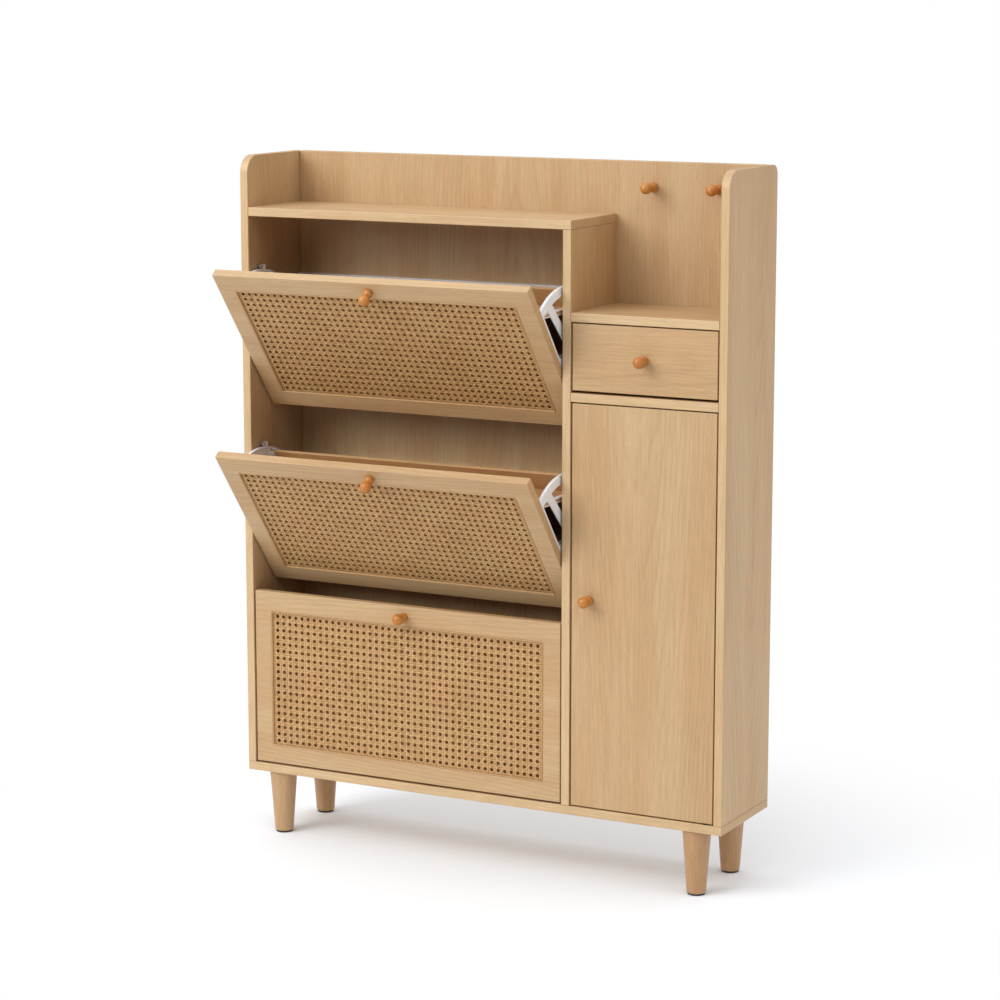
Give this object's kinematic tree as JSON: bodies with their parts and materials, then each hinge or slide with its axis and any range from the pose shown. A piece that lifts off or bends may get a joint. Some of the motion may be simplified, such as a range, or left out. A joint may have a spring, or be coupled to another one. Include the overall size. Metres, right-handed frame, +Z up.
{
  "type": "shoe cabinet",
  "caption": "Shallow oak-look shoe cabinet on tapered legs, with tip-out woven-cane flaps beside an open peg niche, a drawer and a hinged door.",
  "frame": {"origin": "on the floor, under the centre of the carcass (midway between the side panels and between their front and rear edges)", "axes": "+Z up, -Y towards the front (the flaps, drawer and door open towards -Y), +X towards the door side, which is on the right as seen from the front"},
  "size_m": [0.9, 0.3284, 1.182],
  "materials": {
    "oak_board": "satin natural oak veneer on board",
    "oak_front": "satin natural oak veneer",
    "leg_wood": "satin turned oak",
    "drawer_wood": "matt pale board",
    "bin_wood": "matt oak-faced thin board",
    "cane": "woven natural cane",
    "cane_bead": "satin reed spline",
    "backing": "matt brown hardboard",
    "turned_wood": "glossy orange-brown stained wood",
    "white_plastic": "satin moulded plastic",
    "steel": "zinc-plated",
    "glide": "dark matt"
  },
  "bodies": {
    "carcass": {"left_side_panel": "oak_board", "right_side_panel": "oak_board", "bottom_board": "oak_board", "partition_panel": "oak_board", "top_shelf": "oak_board", "niche_shelf": "oak_board", "drawer_divider": "oak_board", "back_panel": "oak_board", "inner_shelves": "oak_board", "shelf_pins": "steel", "front_legs": "leg_wood", "rear_legs": "leg_wood", "foot_glides": "glide", "leg_bolts": "steel", "coat_pegs": "turned_wood", "cam_fittings": "steel", "pivot_sockets": "white_plastic", "flap_stops": "steel", "back_rails": "white_plastic", "door_bushes": "glide", "door_catch": "white_plastic", "runner_rails": "steel"},
    "drawer": {"drawer_front": "oak_front", "drawer_side_left": "drawer_wood", "drawer_side_right": "drawer_wood", "drawer_rear": "drawer_wood", "drawer_bottom": "drawer_wood", "drawer_knob": "turned_wood", "runner_slides": "steel"},
    "door": {"door_panel": "oak_front", "door_knob": "turned_wood", "door_pins": "steel"},
    "upper_flap": {"upper_flap_frame": "oak_front", "upper_flap_cane": "cane", "upper_flap_bead": "cane_bead", "upper_flap_backing": "backing", "upper_flap_knob": "turned_wood", "upper_bin_bracket_left": "white_plastic", "upper_bin_bracket_right": "white_plastic", "upper_bin_rear_board": "bin_wood", "upper_bin_shelves": "bin_wood"},
    "middle_flap": {"middle_flap_frame": "oak_front", "middle_flap_cane": "cane", "middle_flap_bead": "cane_bead", "middle_flap_backing": "backing", "middle_flap_knob": "turned_wood", "middle_bin_bracket_left": "white_plastic", "middle_bin_bracket_right": "white_plastic", "middle_bin_rear_board": "bin_wood", "middle_bin_shelves": "bin_wood"},
    "lower_flap": {"lower_flap_frame": "oak_front", "lower_flap_cane": "cane", "lower_flap_bead": "cane_bead", "lower_flap_backing": "backing", "lower_flap_knob": "turned_wood", "lower_bin_bracket_left": "white_plastic", "lower_bin_bracket_right": "white_plastic", "lower_bin_rear_board": "bin_wood", "lower_bin_shelves": "bin_wood"}
  },
  "joints": [
    {"name": "drawer_slide", "type": "slide", "parent": "carcass", "child": "drawer", "axis": [0, -1, 0], "range_m": [0, 0.11]},
    {"name": "door_hinge", "type": "hinge", "parent": "carcass", "child": "door", "pos_m": [0.4195, -0.0885, 0.464], "axis": [0, 0, 1], "range_deg": [0, 110]},
    {"name": "upper_flap_hinge", "type": "hinge", "parent": "carcass", "child": "upper_flap", "pos_m": [-0.1375, -0.074, 0.843], "axis": [1, 0, 0], "range_deg": [-38, 0]},
    {"name": "middle_flap_hinge", "type": "hinge", "parent": "carcass", "child": "middle_flap", "pos_m": [-0.1375, -0.074, 0.536], "axis": [1, 0, 0], "range_deg": [-38, 0]},
    {"name": "lower_flap_hinge", "type": "hinge", "parent": "carcass", "child": "lower_flap", "pos_m": [-0.1375, -0.074, 0.229], "axis": [1, 0, 0], "range_deg": [0, 38]}
  ]
}
